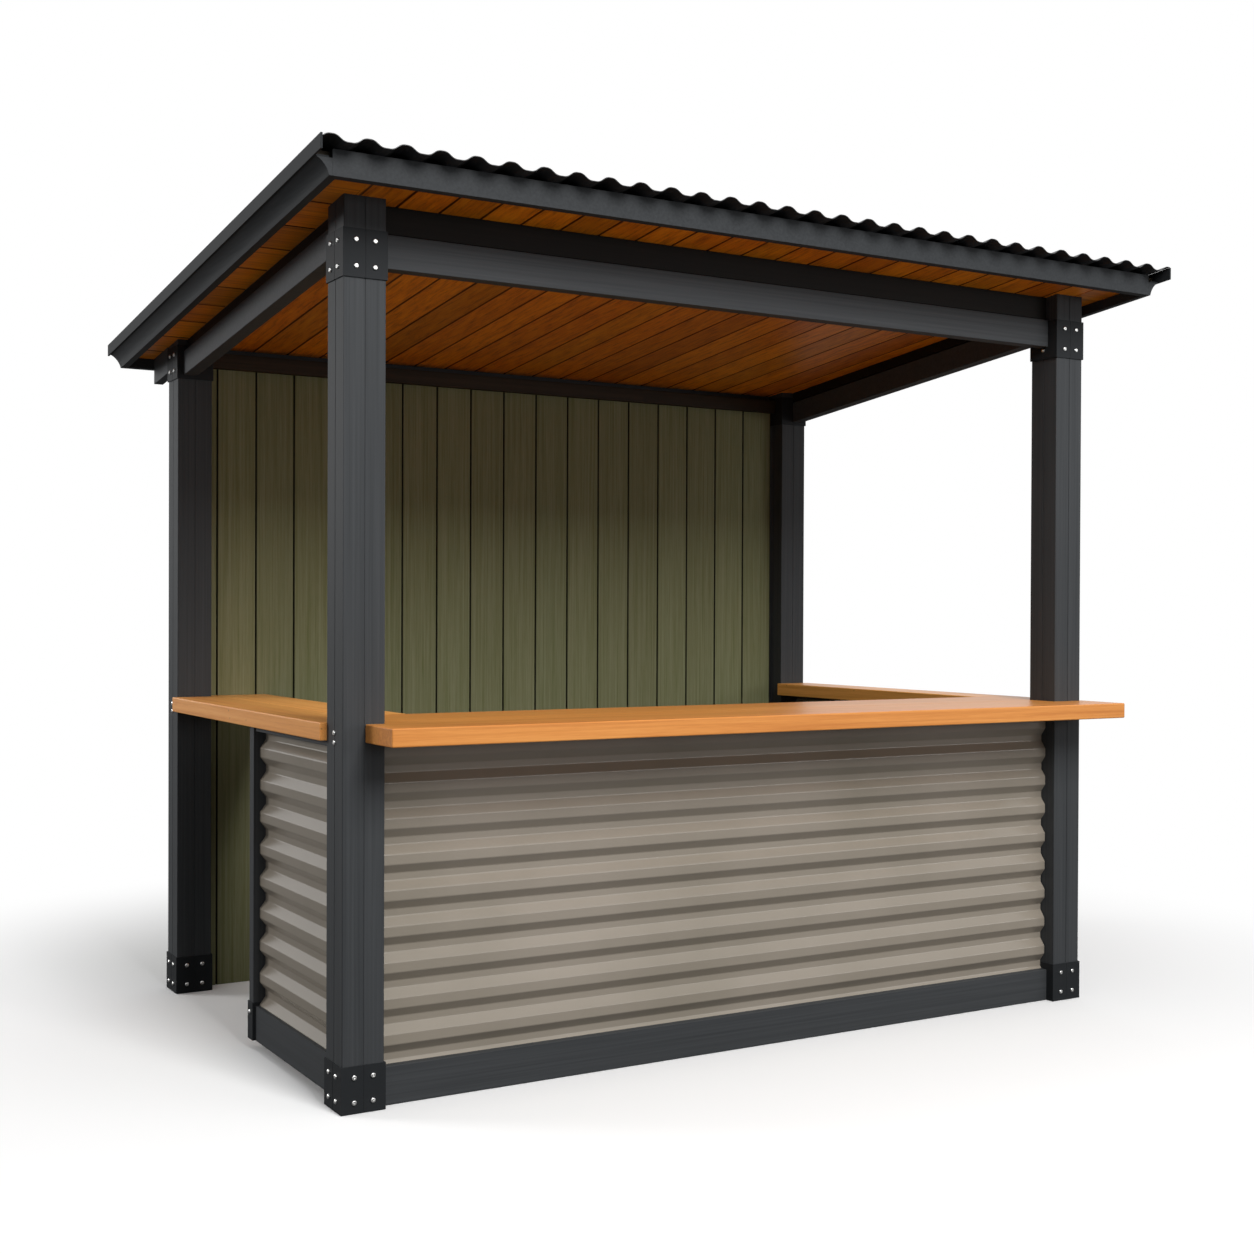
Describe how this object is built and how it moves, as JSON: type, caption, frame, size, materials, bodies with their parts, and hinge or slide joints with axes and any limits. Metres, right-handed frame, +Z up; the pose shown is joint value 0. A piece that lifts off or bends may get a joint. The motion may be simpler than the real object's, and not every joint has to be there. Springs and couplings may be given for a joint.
{
  "type": "garden bar",
  "caption": "Open-frame garden bar with a sloping corrugated roof, boarded back wall, corrugated lower panels and timber counters.",
  "frame": {"origin": "on the ground, in the middle of the roof's outline seen from above", "axes": "+X to the right along the front, +Y from the front to the back wall, +Z up"},
  "size_m": [3.206, 2.349, 2.6713],
  "materials": {
    "frame_timber": "opaque anthracite paint on laminated softwood, satin",
    "bracket_steel": "anthracite powder coat, satin",
    "panel_steel": "taupe coil-coated corrugated steel, satin",
    "roof_steel": "near-black coil-coated corrugated steel, satin",
    "counter_timber": "oiled warm hardwood planks, satin",
    "ceiling_timber": "stained tongue-and-groove boards, satin",
    "wall_boards": "olive stained vertical boards, matt",
    "wall_trim_timber": "dark brown stained timber, satin",
    "purlin_timber": "sawn softwood, matt",
    "fascia_timber": "opaque anthracite paint, satin",
    "flashing_steel": "anthracite folded steel, satin",
    "screw_steel": "bright zinc-plated pan-head screws"
  },
  "bodies": {
    "root": {"back_wall": "wall_boards", "ceiling": "ceiling_timber", "counter_rails": "frame_timber", "entrance_foot_bracket": "bracket_steel", "entrance_post": "frame_timber", "front_base_rail": "frame_timber", "front_beam": "frame_timber", "front_counter": "counter_timber", "front_fascia": "fascia_timber", "front_header": "frame_timber", "front_left_foot_bracket": "bracket_steel", "front_left_head_bracket": "bracket_steel", "front_left_post": "frame_timber", "front_panel": "panel_steel", "front_right_foot_bracket": "bracket_steel", "front_right_head_bracket": "bracket_steel", "front_right_post": "frame_timber", "left_base_rail": "frame_timber", "left_beam": "frame_timber", "left_counter": "counter_timber", "left_fascia": "fascia_timber", "left_flashing": "flashing_steel", "left_panel": "panel_steel", "left_soffit": "ceiling_timber", "rear_beam": "frame_timber", "rear_fascia": "fascia_timber", "rear_left_foot_bracket": "bracket_steel", "rear_left_head_bracket": "bracket_steel", "rear_left_post": "frame_timber", "rear_right_foot_bracket": "bracket_steel", "rear_right_head_bracket": "bracket_steel", "rear_right_post": "frame_timber", "right_base_rail": "frame_timber", "right_beam": "frame_timber", "right_counter": "counter_timber", "right_fascia": "fascia_timber", "right_flashing": "flashing_steel", "right_panel": "panel_steel", "right_soffit": "ceiling_timber", "roof_purlins": "purlin_timber", "roof_sheet": "roof_steel", "side_headers": "frame_timber", "tail_beams": "frame_timber", "wall_rails": "frame_timber", "wall_trim": "wall_trim_timber"}
  },
  "joints": []
}
